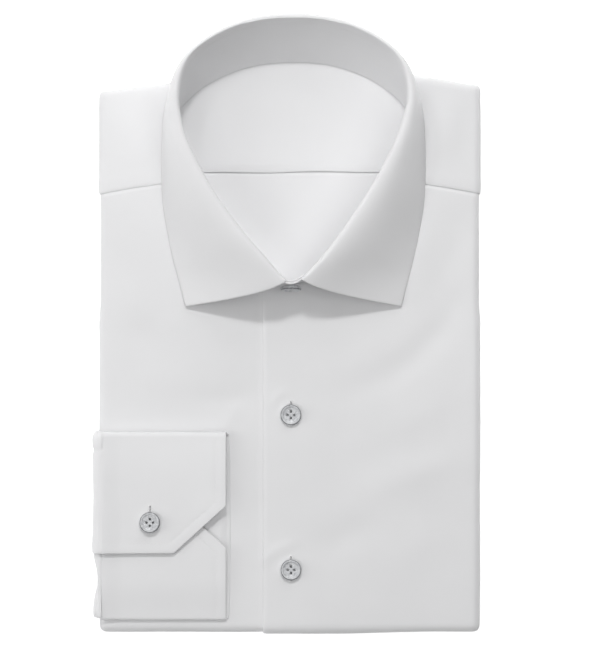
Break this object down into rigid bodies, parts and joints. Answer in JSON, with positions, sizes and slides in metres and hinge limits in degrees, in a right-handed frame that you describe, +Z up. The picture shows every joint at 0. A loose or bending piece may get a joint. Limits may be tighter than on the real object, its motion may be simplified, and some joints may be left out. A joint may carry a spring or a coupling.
{
  "type": "folded dress shirt",
  "caption": "Folded dress shirt lying flat, with a buttoned spread collar, a plain placket and a mitred cuff laid across the front.",
  "frame": {"origin": "middle of the flat underside", "axes": "+Z up from the surface it lies on, +Y along the shirt towards the collar, +X to the wearer's left front"},
  "size_m": [0.224, 0.3552, 0.0628],
  "materials": {
    "cotton": "fine white cotton poplin, pressed",
    "cotton_inside": "fine white cotton poplin, inner face and folded layers",
    "button": "pale grey pearl-like button resin, polished"
  },
  "bodies": {
    "root": {"core": "cotton_inside", "back": "cotton_inside", "yoke": "cotton", "front_right": "cotton", "front_left": "cotton", "collar_stand": "cotton", "collar_leaf": "cotton", "cuff": "cotton", "sleeve": "cotton", "button_front_1": "button", "button_front_2": "button", "button_cuff": "button", "button_collar": "button"}
  },
  "joints": []
}
